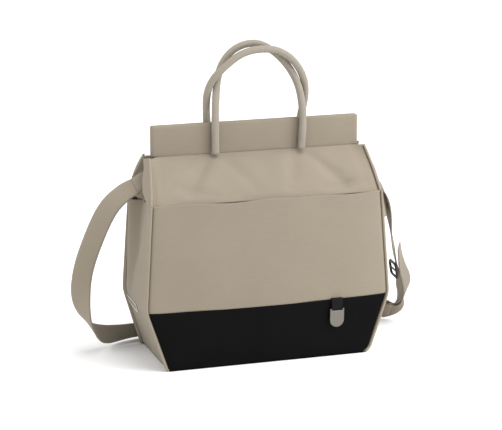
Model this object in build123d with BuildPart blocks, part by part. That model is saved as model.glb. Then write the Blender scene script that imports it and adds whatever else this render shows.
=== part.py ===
"""Diaper bag: a gusseted canvas tote with a coated base, slip pockets, two rope handles, a stiff
top closure and an adjustable shoulder strap. Millimetres, +Z up, front at -Y, floor at z = 0."""
from build123d import *
from math import tan, radians
import os

os.makedirs("parts", exist_ok=True)

# Body outline: half widths are over the pipings
base_half_width = 170.6
seam_half_width = 200.0
hem_half_width = 187.6
top_half_width = 181.5
half_depth = 80.5
seam_height = 98.0          # top seam of the coated base
hem_height = 269.0          # mouths of the slip pockets, where the slopes start
closure_height = 332.5      # slopes meet the closure strips
strip_top = 381.5
strip_half_width = 172.8
closure_y = -5.0            # the closed top leans a little to the front

# Cloth and boards
coated_thickness = 4.0      # coated cloth, foam and backing
canvas_thickness = 2.0
pocket_thickness = 1.6
lining_thickness = 0.8
floor_thickness = 2.5
board_thickness = 3.0
pocket_reach = 84.6         # how far a pocket's mouth stands from the middle plane
side_pocket_gap = 10.0      # width of a side pocket's mouth
strip_thickness = 5.5
strip_gap = 1.0
strip_board_thickness = 1.5
body_clearance = 0.4        # between pieces that move apart

# Piping: a cord with one flat side, sewn to the panels' edges
piping_radius = 2.2
piping_offset = 1.6         # from the flat side to the cord's centre
piping_reach = piping_radius + piping_offset

# Handles
handle_radius = 6.0
handle_core_radius = 4.0
handle_tilt = 2.6           # degrees, towards the other handle
handle_root_height = 336.0
tongue_height = 6.5         # flattened end of a handle, which bends where it leaves the seam
tongue_width = 12.0
tongue_thickness = 2.4
front_handle_rise = 159.0
back_handle_rise = 167.0
front_handle_half_width = 72.0
back_handle_half_width = 78.0

# Shoulder strap
webbing_width = 31.0
webbing_thickness = 2.4
tab_thickness = 3.2
tab_height = 285.5
tab_inner_x = 146.0
tab_outer_x = 200.0

# Pull tab
tab_x = 112.9
tab_width = 19.0
tab_leather = 1.8
cap_width = 24.0
cap_bottom = 49.0
cap_top = 79.0
cap_back = half_depth + 0.3
cap_thickness = pocket_reach - cap_back
leather_back = cap_back + 1.0

panel_face = half_depth - coated_thickness           # outer face of the canvas panels
inner_face = panel_face - canvas_thickness           # their inner face, where the gussets end


def outline_half_width(z):
    """Half width over the pipings at height z."""
    if z <= seam_height:
        return base_half_width + (seam_half_width - base_half_width) * z / seam_height
    if z <= hem_height:
        part = (z - seam_height) / (hem_height - seam_height)
        return seam_half_width + (hem_half_width - seam_half_width) * part
    part = (z - hem_height) / (closure_height - hem_height)
    return hem_half_width + (top_half_width - hem_half_width) * part


def panel_half_width(z):
    """Half width of the panels, inside the pipings."""
    return outline_half_width(z) - piping_reach


def save(piece, name):
    piece.part.label = name
    export_step(piece.part, f"parts/{name}.step")


def front_outline(low, high, inset=0.0):
    """The body's outline seen from the front, between two heights, as a closed wire of lines."""
    heights = [low] + [z for z in (seam_height, hem_height) if low < z < high] + [high]
    right = [(panel_half_width(z) - inset, z) for z in heights]
    left = [(-x, z) for x, z in reversed(right)]
    return Polyline(*right, *left, close=True)


def flat_panel(low, high, near, far):
    """A flat panel with the body's outline, between two planes square to Y."""
    with BuildPart() as panel:
        with BuildSketch(Plane.XZ.offset(-far)):
            with BuildLine():
                front_outline(low, high)
            make_face()
        extrude(amount=far - near)
    return panel


def wide_profile(points, low, high):
    """A profile in the YZ plane, run across the bag and trimmed to the body's outline."""
    with BuildPart() as panel:
        with BuildSketch(Plane.YZ):
            with BuildLine():
                Polyline(*points, close=True)
            make_face()
        extrude(amount=seam_half_width, both=True)
        with BuildSketch(Plane.XZ):
            with BuildLine():
                front_outline(low, high)
            make_face()
        extrude(amount=pocket_reach, both=True, mode=Mode.INTERSECT)
    return panel


# Coated base: front, floor and back in one folded panel
with BuildPart() as base_shell:
    with BuildSketch(Plane.XZ):
        with BuildLine():
            front_outline(0, seam_height)
        make_face()
    extrude(amount=half_depth, both=True)
    with Locations((0, 0, floor_thickness)):
        Box(2 * seam_half_width, 2 * panel_face, seam_height, mode=Mode.SUBTRACT,
            align=(Align.CENTER, Align.CENTER, Align.MIN))
save(base_shell, "base_shell")

# Stiff board that keeps the floor flat
board_top = floor_thickness + board_thickness
with BuildPart() as base_board:
    with Locations((0, 0, floor_thickness)):
        Box(2 * (panel_half_width(floor_thickness) - 2 * pocket_thickness), 2 * inner_face, board_thickness,
            align=(Align.CENTER, Align.CENTER, Align.MIN))
save(base_board, "base_board")

# Canvas panels behind the slip pockets
panel_top = hem_height - 2.5
save(flat_panel(floor_thickness, panel_top, -panel_face, -inner_face), "front_panel")
save(flat_panel(floor_thickness, panel_top, inner_face, panel_face), "back_panel")

# Front and back slip pockets, leaning out to their mouths
for side, name in ((-1, "front_pocket"), (1, "back_pocket")):
    pocket_profile = [
        (side * half_depth, seam_height),
        (side * pocket_reach, hem_height),
        (side * (pocket_reach - pocket_thickness), hem_height),
        (side * (half_depth - pocket_thickness), seam_height),
    ]
    save(wide_profile(pocket_profile, seam_height, hem_height), name)


def side_wall(points):
    """A side wall: a profile in the XZ plane, run from the front panel to the back panel."""
    with BuildPart() as wall:
        with BuildSketch(Plane.XZ):
            with BuildLine():
                Polyline(*points, close=True)
            make_face()
        extrude(amount=inner_face, both=True)
    return wall


# Gussets and the side pockets outside them
gusset_step = 2 * pocket_thickness + side_pocket_gap
for side, name in ((-1, "left"), (1, "right")):
    pocket_heights = (floor_thickness, seam_height, hem_height)
    pocket_outer = [(side * panel_half_width(z), z) for z in pocket_heights]
    pocket_inner = [(side * (panel_half_width(z) - pocket_thickness), z) for z in reversed(pocket_heights)]
    save(side_wall(pocket_outer + pocket_inner), f"{name}_side_pocket")

    gusset_outer = [
        (side * (panel_half_width(floor_thickness) - pocket_thickness), floor_thickness),
        (side * (panel_half_width(seam_height) - pocket_thickness), seam_height),
        (side * (panel_half_width(panel_top) - pocket_thickness - side_pocket_gap), panel_top),
    ]
    gusset_inner = [(x - side * pocket_thickness, z) for x, z in reversed(gusset_outer)]
    save(side_wall(gusset_outer + gusset_inner), f"{name}_gusset")

# Lining: a thin bag inside the walls, open at the top
lining_outline = [
    (panel_half_width(board_top) - 2 * pocket_thickness, board_top),
    (panel_half_width(seam_height) - 2 * pocket_thickness, seam_height),
    (panel_half_width(panel_top) - gusset_step, panel_top),
]
lining_floor = board_top + lining_thickness
with BuildPart() as lining:
    with BuildSketch(Plane.XZ):
        with BuildLine():
            Polyline(*lining_outline, *[(-x, z) for x, z in reversed(lining_outline)], close=True)
        make_face()
    extrude(amount=inner_face, both=True)
    with BuildSketch(Plane.XZ):
        with BuildLine():
            inside = [(x - lining_thickness, z) for x, z in lining_outline]
            inside[0] = (inside[0][0], lining_floor)
            Polyline(*inside, *[(-x, z) for x, z in reversed(inside)], close=True)
        make_face()
    extrude(amount=inner_face - lining_thickness, both=True, mode=Mode.SUBTRACT)
save(lining, "lining")

# Flat pocket sewn to the lining's back wall, open at the top
inner_pocket_width = 230.0
inner_pocket_low = 90.0
inner_pocket_high = 200.0
inner_pocket_depth = 6.5
lining_back = inner_face - lining_thickness
with BuildPart() as inner_pocket:
    with Locations((0, lining_back - inner_pocket_depth / 2, inner_pocket_low)):
        Box(inner_pocket_width, inner_pocket_depth, inner_pocket_high - inner_pocket_low,
            align=(Align.CENTER, Align.CENTER, Align.MIN))
    with Locations((0, lining_back, inner_pocket_low + lining_thickness)):
        Box(inner_pocket_width - 2 * lining_thickness, inner_pocket_depth - lining_thickness,
            inner_pocket_high, align=(Align.CENTER, Align.MAX, Align.MIN), mode=Mode.SUBTRACT)
save(inner_pocket, "inner_pocket")

# Folded upper gussets: a V that deepens as the top closes
fold_low = hem_height - 1.0
fold_high = closure_height - 4.5
fold_low_half_depth = 71.0
fold_high_half_depth = 6.0
fold_low_inset = 8.0
fold_high_inset = 66.0
fold_edge = panel_half_width(panel_top) - gusset_step + pocket_thickness


def fold_section(edge, inset, centre, half_length):
    """The V seen from above: its two edges at the slopes and its tip inside the bag."""
    front, tip, back = (edge, centre - half_length), (edge - inset, centre), (edge, centre + half_length)
    wall = pocket_thickness * 1.5
    inner = [(x - wall, y) for x, y in (back, tip, front)]
    return [front, tip, back] + inner


for side, name in ((-1, "left"), (1, "right")):
    with BuildPart() as gusset_fold:
        for height, inset, centre, half_length in (
            (fold_low, fold_low_inset, 0, fold_low_half_depth),
            (fold_high, fold_high_inset, closure_y, fold_high_half_depth),
        ):
            with BuildSketch(Plane.XY.offset(height)):
                with BuildLine():
                    section = fold_section(fold_edge, inset, centre, half_length)
                    Polyline(*[(side * x, y) for x, y in section], close=True)
                make_face()
        loft(ruled=True)
    save(gusset_fold, f"{name}_gusset_fold")

# Slopes: from the panels' top edges in to the closure strips
slope_low = hem_height + 1.0
slope_edge = panel_face + body_clearance
for side, name in ((-1, "front"), (1, "back")):
    strip_face = side * closure_y + strip_gap / 2 + strip_thickness
    reach = slope_edge - strip_face
    rise = closure_height - slope_low
    run = Vector(reach, rise).length
    level_thickness = canvas_thickness * run / rise
    foot_y = slope_edge - canvas_thickness * rise / run
    foot_z = slope_low - canvas_thickness * reach / run
    slope_profile = [
        (side * slope_edge, slope_low),
        (side * strip_face, closure_height),
        (side * (strip_face - level_thickness), closure_height),
        (side * foot_y, foot_z),
    ]
    save(wide_profile(slope_profile, hem_height - canvas_thickness, closure_height), f"{name}_slope")

    # The slope's pipings lie against its two side edges
    foot = Vector(0, side * (slope_edge + foot_y) / 2, (slope_low + foot_z) / 2)
    head = Vector(0, side * (strip_face - level_thickness / 2), closure_height)
    for hand, hand_name in ((-1, "left"), (1, "right")):
        start = foot + Vector(hand * panel_half_width(foot.Z), 0, 0)
        end = head + Vector(hand * panel_half_width(head.Z), 0, 0)
        along = (end - start).normalized()
        start += along * 1.5 * piping_radius
        length = (end - start).length - piping_radius
        across = Vector(0, 1, 0).cross(along).normalized()
        across = across if across.X * hand > 0 else -across
        with BuildPart() as slope_piping:
            with BuildSketch(Plane(origin=start, x_dir=across, z_dir=along)):
                with Locations((piping_offset, 0)):
                    Circle(piping_radius)
                Rectangle(piping_radius, 4 * piping_radius, align=(Align.MAX, Align.CENTER), mode=Mode.SUBTRACT)
            extrude(amount=length)
        save(slope_piping, f"{name}_slope_{hand_name}_piping")

# Pipings at the body's four upright corners
piping_top = panel_top - 1.5
for side, name in ((-1, "front"), (1, "back")):
    for hand, hand_name in ((-1, "left"), (1, "right")):
        piping_y = side * (half_depth - piping_radius)
        below = -piping_reach
        heights = (below, seam_height, piping_top)
        points = [(hand * panel_half_width(z), piping_y, z) for z in heights]
        with BuildPart() as piping:
            with BuildLine() as piping_line:
                Polyline(*points)
            start = Vector(*points[0])
            along = (Vector(*points[1]) - start).normalized()
            across = Vector(0, 1, 0).cross(along).normalized()
            across = across if across.X * hand > 0 else -across
            with BuildSketch(Plane(origin=start, x_dir=across, z_dir=along)):
                with Locations((piping_offset, 0)):
                    Circle(piping_radius)
                Rectangle(piping_radius, 4 * piping_radius, align=(Align.MAX, Align.CENTER), mode=Mode.SUBTRACT)
            sweep(path=piping_line.wire(), transition=Transition.RIGHT)
            split(bisect_by=Plane.XY, keep=Keep.TOP)
        save(piping, f"{name}_{hand_name}_piping")

# Closure strips, each with a board and two magnets sealed inside
strip_height = strip_top - closure_height
strip_wall = 1.5
board_margin = 2.0          # from the board's edge to the strip's seam
magnet_radius = 7.0
magnet_thickness = 2.0
magnet_sink = 0.5           # the magnets press this far into the cloth
magnet_x = 115.0
for side, name in ((-1, "front"), (1, "back")):
    near = closure_y + side * strip_gap / 2
    centre_y = near + side * strip_thickness / 2
    board_y = near + side * (strip_wall - magnet_sink + magnet_thickness + strip_board_thickness / 2)
    magnet_y = near + side * (strip_wall - magnet_sink + magnet_thickness / 2)
    middle_height = (strip_top + closure_height) / 2
    board_inset = 2 * (strip_wall + board_margin)
    board_size = (2 * strip_half_width - board_inset, strip_board_thickness, strip_height - board_inset)
    with BuildPart() as strip:
        with Locations((0, centre_y, middle_height)):
            Box(2 * strip_half_width, strip_thickness, strip_height)
        with Locations((0, board_y, middle_height)):
            Box(*board_size, mode=Mode.SUBTRACT)
        with Locations((-magnet_x, magnet_y, middle_height), (magnet_x, magnet_y, middle_height)):
            Cylinder(magnet_radius, magnet_thickness, rotation=(90, 0, 0), mode=Mode.SUBTRACT)
    save(strip, f"{name}_strip")
    with BuildPart() as strip_board:
        with Locations((0, board_y, middle_height)):
            Box(*board_size)
    save(strip_board, f"{name}_strip_board")
    for hand, hand_name in ((-1, "left"), (1, "right")):
        with BuildPart() as magnet:
            with Locations((hand * magnet_x, magnet_y, middle_height)):
                Cylinder(magnet_radius, magnet_thickness, rotation=(90, 0, 0))
        save(magnet, f"{name}_{hand_name}_magnet")


def handle_line(plane, half_width, rise):
    """A handle's centre line in its own plane: two straight legs and a round arch between them."""
    shoulder = rise - half_width
    with BuildLine(plane) as line:
        Line((-half_width, 0), (-half_width, shoulder))
        CenterArc((0, shoulder), half_width, 180, -180)
        Line((half_width, shoulder), (half_width, 0))
    return line.wire()


# Handles: a rope core in a sewn cloth tube, with flattened ends, standing clear of the closure strips
hinge_height = handle_root_height - tongue_height
for side, name, half_width, rise in (
    (-1, "front", front_handle_half_width, front_handle_rise),
    (1, "back", back_handle_half_width, back_handle_rise),
):
    strip_reach = strip_gap / 2 + strip_thickness
    lean_at_strip_top = (strip_top - handle_root_height) * tan(radians(handle_tilt))
    root_y = closure_y + side * (strip_reach + handle_radius + body_clearance + lean_at_strip_top)
    upward = Vector(0, -side * tan(radians(handle_tilt)), 1)
    normal = Vector(1, 0, 0).cross(upward)
    handle_plane = Plane(origin=(0, root_y, handle_root_height), x_dir=(1, 0, 0), z_dir=normal)
    path = handle_line(handle_plane, half_width, rise)
    root_plane = Plane(origin=path @ 0, z_dir=path % 0)
    with BuildPart() as handle_cover:
        with BuildSketch(root_plane):
            Circle(handle_radius)
            Circle(handle_core_radius, mode=Mode.SUBTRACT)
        sweep(path=path)
    save(handle_cover, f"{name}_handle_cover")
    with BuildPart() as handle_core:
        with BuildSketch(root_plane):
            Circle(handle_core_radius)
        sweep(path=path)
    save(handle_core, f"{name}_handle_core")

    # Each end is a tongue on the handle above a stub sewn into the seam
    strip_face = side * closure_y + strip_reach
    slope_fall = (closure_height - slope_low) / (slope_edge - strip_face)
    stub_top = hinge_height - tongue_thickness
    slope_at_root = closure_height - slope_fall * (side * root_y - strip_face)
    for hand, hand_name in ((-1, "left"), (1, "right")):
        with BuildPart() as tongue:
            with BuildSketch(Plane(origin=(hand * half_width, root_y, handle_root_height),
                                   x_dir=(1, 0, 0), z_dir=path % 0)):
                Rectangle(tongue_width, tongue_thickness)
            extrude(amount=-tongue_height)
        save(tongue, f"{name}_handle_{hand_name}_tongue")
        half_stub = 0.75 * tongue_thickness
        with BuildPart() as stub:
            with BuildSketch(Plane.YZ.offset(hand * half_width - tongue_width / 2)):
                with BuildLine():
                    Polyline(
                        (root_y - half_stub, stub_top),
                        (root_y + half_stub, stub_top),
                        (root_y + half_stub, slope_at_root - side * slope_fall * half_stub),
                        (root_y - half_stub, slope_at_root + side * slope_fall * half_stub),
                        close=True,
                    )
                make_face()
            extrude(amount=tongue_width)
        save(stub, f"{name}_{hand_name}_handle_stub")

# Tabs that hold the shoulder strap, sewn to the tips of the gusset folds
for side, name in ((-1, "left"), (1, "right")):
    with BuildPart() as strap_tab:
        with Locations((side * (tab_inner_x + tab_outer_x) / 2, 0, tab_height)):
            Box(tab_outer_x - tab_inner_x, tab_thickness, webbing_width)
    save(strap_tab, f"{name}_strap_tab")

# Shoulder strap: down from the left tab, behind the bag and up to the right tab
strap_route = [
    (-198, 0, 285),
    (-223, 2, 277),
    (-248, 9, 248),
    (-264, 25, 197),
    (-275, 41, 147),
    (-279, 57, 98),
    (-268, 77, 53),
    (-238, 96, 25),
    (-190, 108, 18),
    (-115, 113, 19),
    (-20, 110, 18),
    (75, 113, 19),
    (155, 110, 18),
    (218, 99, 19),
    (262, 79, 27),
    (286, 57, 54),
    (284, 47, 82),
    (270, 37, 110),
    (256, 28, 142),
    (246, 19, 175),
    (239, 10, 211),
    (228, 3, 247),
    (214, 0, 270),
    (198, 0, 284),
]


def corner_radii(points):
    """The largest arcs that the runs allow: 0.45 of the shorter run over the half turn's tangent."""
    radii = []
    for before, corner, after in zip(points, points[1:], points[2:]):
        run_in = Vector(*corner) - Vector(*before)
        run_out = Vector(*after) - Vector(*corner)
        turn = run_in.get_angle(run_out)
        radii.append(0.45 * min(run_in.length, run_out.length) / tan(radians(turn / 2)))
    return radii


strap_radii = corner_radii(strap_route)
print("strap arc radii", [round(radius) for radius in strap_radii])
with BuildPart() as shoulder_strap:
    with BuildLine() as strap_line:
        FilletPolyline(*strap_route, radius=strap_radii)
    strap_path = strap_line.wire()
    strap_start = Plane(origin=strap_path @ 0, x_dir=(0, 1, 0), z_dir=strap_path % 0)
    with BuildSketch(strap_start):
        Rectangle(webbing_thickness, webbing_width)
    sweep(path=strap_path)
save(shoulder_strap, "shoulder_strap")
strap_volume = webbing_width * webbing_thickness * strap_path.length
print("strap length", round(strap_path.length), "volume ratio", round(shoulder_strap.part.volume / strap_volume, 4))

# Slider on the strap, and the end of the webbing that doubles back from it
slider_place = 0.8          # share of the strap's length from the left tab
slider_length = 24.0
slider_width = 40.0
slider_rod = 4.0
tail_length = 52.0
slider_at = strap_path.position_at(slider_place)
slider_along = strap_path.tangent_at(slider_place)
slider_face = Vector(0, -1, 0)
slider_plane = Plane(origin=slider_at, x_dir=slider_along.cross(slider_face), z_dir=slider_face)
with BuildPart() as strap_slider:
    with BuildSketch(slider_plane.offset(-slider_rod / 2)):
        Rectangle(slider_width, slider_length)
        with GridLocations(0, slider_length / 2, 1, 2):
            Rectangle(slider_width - 2 * slider_rod, slider_length / 2 - slider_rod, mode=Mode.SUBTRACT)
    extrude(amount=slider_rod)
save(strap_slider, "strap_slider")
with BuildPart() as strap_tail:
    with BuildSketch(slider_plane.offset(slider_rod / 2 + body_clearance)):
        with Locations((0, -tail_length / 2)):
            Rectangle(webbing_width, tail_length)
    extrude(amount=webbing_thickness)
save(strap_tail, "strap_tail")

# Woven label, sewn flat on the left side
label_length = 62.0
label_height = 13.0
label_thickness = 0.6
label_y = 43.0
label_z = 90.0
label_low, label_high = label_z - label_height / 2, label_z + label_height / 2
with BuildPart() as side_label:
    with BuildSketch(Plane.XZ.offset(-label_y - label_length / 2)):
        with BuildLine():
            face = [(-panel_half_width(z), z) for z in (label_low, label_high)]
            Polyline(*face, *[(x - label_thickness, z) for x, z in reversed(face)], close=True)
        make_face()
    extrude(amount=label_length)
save(side_label, "side_label")

# Pull tab: a leather tongue from the seam with a metal cap on its end
leather_y = -leather_back - tab_leather / 2
leather_bottom = cap_bottom + 6.0
leather_top = seam_height - 0.2
with BuildPart() as pull_tab_leather:
    with Locations((tab_x, leather_y, leather_bottom)):
        Box(tab_width, tab_leather, leather_top - leather_bottom, align=(Align.CENTER, Align.CENTER, Align.MIN))
save(pull_tab_leather, "pull_tab_leather")
with BuildPart() as pull_tab_stub:
    with Locations((tab_x, -half_depth, seam_height + 1.2)):
        Box(tab_width, leather_back + tab_leather - half_depth, 2, align=(Align.CENTER, Align.MAX, Align.MIN))
save(pull_tab_stub, "pull_tab_stub")
cap_round = cap_width / 2
with BuildPart() as pull_tab_cap:
    with BuildSketch(Plane.XZ.offset(cap_back)):
        with BuildLine():
            left, right = tab_x - cap_round, tab_x + cap_round
            Line((left, cap_bottom + cap_round), (left, cap_top))
            Line((left, cap_top), (right, cap_top))
            Line((right, cap_top), (right, cap_bottom + cap_round))
            RadiusArc((right, cap_bottom + cap_round), (left, cap_bottom + cap_round), cap_round)
        make_face()
    extrude(amount=cap_thickness)
    with Locations((tab_x, leather_y, leather_bottom)):
        Box(tab_width, tab_leather, cap_top, align=(Align.CENTER, Align.CENTER, Align.MIN), mode=Mode.SUBTRACT)
save(pull_tab_cap, "pull_tab_cap")
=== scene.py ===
import math

import bpy
import numpy as np
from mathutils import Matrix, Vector


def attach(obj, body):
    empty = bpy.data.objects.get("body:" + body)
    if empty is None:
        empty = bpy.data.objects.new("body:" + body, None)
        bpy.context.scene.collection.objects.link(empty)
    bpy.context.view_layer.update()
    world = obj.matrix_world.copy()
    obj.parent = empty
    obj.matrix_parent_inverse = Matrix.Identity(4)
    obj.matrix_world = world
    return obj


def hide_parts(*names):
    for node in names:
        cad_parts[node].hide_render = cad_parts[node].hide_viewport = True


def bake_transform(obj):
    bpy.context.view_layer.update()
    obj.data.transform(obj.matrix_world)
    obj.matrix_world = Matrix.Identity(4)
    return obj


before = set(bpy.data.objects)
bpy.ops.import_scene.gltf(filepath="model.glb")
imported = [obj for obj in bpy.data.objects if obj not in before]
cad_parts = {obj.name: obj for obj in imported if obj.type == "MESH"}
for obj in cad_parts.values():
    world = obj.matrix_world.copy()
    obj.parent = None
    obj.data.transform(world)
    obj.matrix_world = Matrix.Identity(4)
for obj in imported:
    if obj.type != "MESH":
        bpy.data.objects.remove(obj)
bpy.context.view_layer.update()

# ---------------------------------------------------------------------------------------------
# Sizes of the bag, in millimetres in the row frame. lift() turns millimetres into metres.
# ---------------------------------------------------------------------------------------------
MM = 0.001
BASE_HALF_WIDTH = 170.6
SEAM_HALF_WIDTH = 200.0
HEM_HALF_WIDTH = 187.6
TOP_HALF_WIDTH = 181.5
HALF_DEPTH = 80.5
SEAM_Z = 98.0
HEM_Z = 269.0
CLOSURE_Z = 332.5
STRIP_TOP = 381.5
STRIP_HALF_WIDTH = 172.8
CLOSURE_Y = -5.0            # where the two closure strips meet
BASE_CORNER = {-1: 5.0, 1: 13.0}    # round of the base's lower corners, left and right
FRONT_FLARE = 4.0           # how much further out the front pipings stand at the seam
HEM_FLARE = {-1: 6.5, 1: 2.4}       # and at the pockets' mouths, left and right
PANEL_INSET = 3.6           # from the outline to the edge of a panel, under the piping
SIDE_INSET = 3.2            # the same for the side pockets
WEBBING_WIDTH = 32.5
WEBBING_THICKNESS = 2.1
PIPING_RADIUS = 2.1
CANVAS_THICKNESS = 1.6
BASE_THICKNESS = 1.8
SIDE_THICKNESS = 1.4        # cloth of the side pockets
FOLD_THICKNESS = 1.2        # cloth of the folded gussets


def lift(point):
    return Vector(point) * MM


# ---------------------------------------------------------------------------------------------
# Camera: a long lens, turned 18 degrees to the bag's left and looking 13.6 degrees down
# ---------------------------------------------------------------------------------------------
VIEW_YAW = math.radians(18.10)
VIEW_PITCH = math.radians(13.585)
VIEW_FROM = (-982.6, -2990.1, 984.5)
FILM_WIDTH, LENS = 36, 143.82


def make_camera():
    camera = bpy.data.objects.new("camera", bpy.data.cameras.new("camera"))
    bpy.context.scene.collection.objects.link(camera)
    camera.data.sensor_width = FILM_WIDTH
    camera.data.lens = LENS
    camera.data.clip_end = 30
    camera.location = lift(VIEW_FROM)
    camera.rotation_euler = (math.pi / 2 - VIEW_PITCH, 0, -VIEW_YAW)
    bpy.context.scene.camera = camera


make_camera()


# ---------------------------------------------------------------------------------------------
# Lines and meshes
# ---------------------------------------------------------------------------------------------
def smooth_line(points, order=3, steps=12):
    """Points, in metres, along a NURBS spline with these control points, given in millimetres."""
    data = bpy.data.curves.new("line", "CURVE")
    data.dimensions = "3D"
    data.resolution_u = steps
    spline = data.splines.new("NURBS")
    spline.points.add(len(points) - 1)
    for place, point in zip(spline.points, points):
        place.co = (*lift(point), 1)
    spline.order_u = order
    spline.use_endpoint_u = True
    holder = bpy.data.objects.new("line", data)
    mesh = bpy.data.meshes.new_from_object(holder)
    line = np.array([v.co for v in mesh.vertices])
    bpy.data.objects.remove(holder)
    bpy.data.curves.remove(data)
    bpy.data.meshes.remove(mesh)
    return line


def unit(vectors):
    return vectors / np.maximum(np.linalg.norm(vectors, axis=-1, keepdims=True), 1e-9)


def arc_length(line):
    steps = np.linalg.norm(np.diff(line, axis=0), axis=1)
    return np.concatenate([[0], np.cumsum(steps)])


def resample(line, count):
    length = arc_length(line)
    places = np.linspace(0, length[-1], count)
    return np.stack([np.interp(places, length, line[:, i]) for i in range(3)], 1)


def make_object(name, vertices, faces, material, uv=None, smooth=True):
    mesh = bpy.data.meshes.new(name)
    mesh.from_pydata([tuple(v) for v in vertices], [], faces)
    if uv is not None:
        layer = mesh.uv_layers.new(name="cloth")
        corners = np.zeros(len(mesh.loops), int)
        mesh.loops.foreach_get("vertex_index", corners)
        layer.data.foreach_set("uv", np.asarray(uv, float)[corners].ravel())
    mesh.validate()
    mesh.polygons.foreach_set("use_smooth", [smooth] * len(mesh.polygons))
    mesh.materials.append(material)
    mesh.update()
    piece = bpy.data.objects.new(name, mesh)
    bpy.context.scene.collection.objects.link(piece)
    return piece


def grid_faces(rows, columns, offset=0, closed=False):
    """Quads of a grid of points, row by row. A closed grid joins its last column to its first."""
    faces = []
    for r in range(rows - 1):
        for c in range(columns if closed else columns - 1):
            n = (c + 1) % columns
            a, b = offset + r * columns + c, offset + r * columns + n
            faces.append((a, b, b + columns, a + columns))
    return faces


def cloth_from_grid(name, outer, material, thickness, flip=False, middle=False):
    """A sheet with two faces and a rim from a grid of points in metres; thickness is in millimetres.
    The grid is the outer face, or the middle of the sheet."""
    rows, columns = outer.shape[:2]
    normal = unit(np.cross(np.gradient(outer, axis=1), np.gradient(outer, axis=0))) * (-1 if flip else 1)
    if middle:
        outer = outer + normal * thickness * MM / 2
    inner = outer - normal * thickness * MM
    count = rows * columns
    vertices = np.concatenate([outer.reshape(-1, 3), inner.reshape(-1, 3)])
    front = grid_faces(rows, columns)
    back = [tuple(reversed([i + count for i in face])) for face in front]
    ring = list(range(columns)) + [r * columns + columns - 1 for r in range(1, rows)]
    ring += [(rows - 1) * columns + c for c in range(columns - 2, -1, -1)]
    ring += [r * columns for r in range(rows - 2, 0, -1)]
    rim = [(a, a + count, b + count, b) for a, b in zip(ring, ring[1:] + ring[:1])]
    faces = front + back + rim
    if flip:
        faces = [tuple(reversed(face)) for face in faces]
    wide = np.linalg.norm(np.diff(outer, axis=1), axis=2)
    long = np.linalg.norm(np.diff(outer, axis=0), axis=2)
    u = np.concatenate([np.zeros((rows, 1)), np.cumsum(wide, 1)], 1)
    v = np.concatenate([np.zeros((1, columns)), np.cumsum(long, 0)])
    uv = np.stack([u, v], -1).reshape(-1, 2)
    return make_object(name, vertices, faces, material, np.concatenate([uv, uv]))


def cloth(name, place, material, rows, columns, thickness, flip=False):
    """A sheet from place(s, t), which gives its outer face in millimetres for s and t from 0 to 1."""
    s, t = np.meshgrid(np.linspace(0, 1, columns), np.linspace(0, 1, rows))
    return cloth_from_grid(name, np.stack(place(s, t), -1) * MM, material, thickness, flip)


def frames(line, hint):
    """Tangent, side and up directions along a line, with side kept near the hint directions."""
    tangent = unit(np.gradient(line, axis=0))
    side = hint - tangent * np.sum(hint * tangent, 1, keepdims=True)
    side = unit(side)
    return tangent, side, np.cross(tangent, side)


def tube(name, line, radius, material, sides=14, hint=(0, 1, 0), flat=None):
    """A closed tube along a line in metres. radius is in millimetres, one value or one for each point;
    flat scales it across the hint direction."""
    count = len(line)
    radius = np.broadcast_to(np.asarray(radius, float), (count,)) * MM
    flat = np.broadcast_to(np.asarray(1.0 if flat is None else flat, float), (count,))
    _, side, up = frames(line, np.broadcast_to(np.asarray(hint, float), line.shape))
    angle = np.linspace(0, 2 * math.pi, sides, endpoint=False)
    ring = (side[:, None] * np.cos(angle)[None, :, None] * flat[:, None, None]
            + up[:, None] * np.sin(angle)[None, :, None])
    points = (line[:, None] + ring * radius[:, None, None]).reshape(-1, 3)
    points = np.concatenate([points, line[:1], line[-1:]])
    faces = grid_faces(count, sides, closed=True)
    start, end = count * sides, count * sides + 1
    faces += [(start, (i + 1) % sides, i) for i in range(sides)]
    last = (count - 1) * sides
    faces += [(end, last + i, last + (i + 1) % sides) for i in range(sides)]
    v = np.repeat(arc_length(line), sides)
    u = np.tile(np.linspace(0, 2 * math.pi * float(radius.mean()), sides), count)
    uv = np.concatenate([np.stack([u, v], 1), [[0, 0], [0, v[-1]]]])
    return make_object(name, points, faces, material, uv)


def band(name, line, side_hints, width, thickness, material, across=7):
    """A flat woven band along a line in metres, with round edges; side_hints point across it."""
    _, side, up = frames(line, side_hints)
    half, round_off = width / 2, thickness / 2
    steps = np.linspace(-1, 1, across)
    upper = [(half * x * (1 - 0.04 * (abs(x) == 1)), round_off * (1 - 0.75 * x ** 8)) for x in steps]
    profile = upper + [(x, -y) for x, y in reversed(upper)]
    section = np.array(profile)
    points = line[:, None] + side[:, None] * section[None, :, :1] + up[:, None] * section[None, :, 1:]
    count, sides = len(line), len(section)
    faces = grid_faces(count, sides, closed=True)
    faces.append(tuple(reversed(range(sides))))
    faces.append(tuple((count - 1) * sides + i for i in range(sides)))
    u = np.tile(section[:, 0], count)
    v = np.repeat(arc_length(line), sides)
    return make_object(name, points.reshape(-1, 3), faces, material, np.stack([u, v], 1))


def finish_piece(piece, body, slot, *nodes):
    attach(piece, body)
    if nodes:
        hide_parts(*nodes)
    return piece


def join(name, pieces):
    """One object from several that share a material."""
    bpy.ops.object.select_all(action="DESELECT")
    for piece in pieces:
        piece.select_set(True)
    bpy.context.view_layer.objects.active = pieces[0]
    bpy.ops.object.join()
    pieces[0].name = name
    return pieces[0]


# ---------------------------------------------------------------------------------------------
# Materials
# ---------------------------------------------------------------------------------------------
def new_material(name, roughness, metallic=0.0, **sockets):
    material = bpy.data.materials.new(name)
    material.use_nodes = True
    shader = material.node_tree.nodes["Principled BSDF"]
    shader.inputs["Roughness"].default_value = roughness
    shader.inputs["Metallic"].default_value = metallic
    for socket, value in sockets.items():
        shader.inputs[socket.replace("_", " ")].default_value = value
    return material, material.node_tree, shader


def link(tree, output, socket):
    tree.links.new(output, socket)


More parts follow.
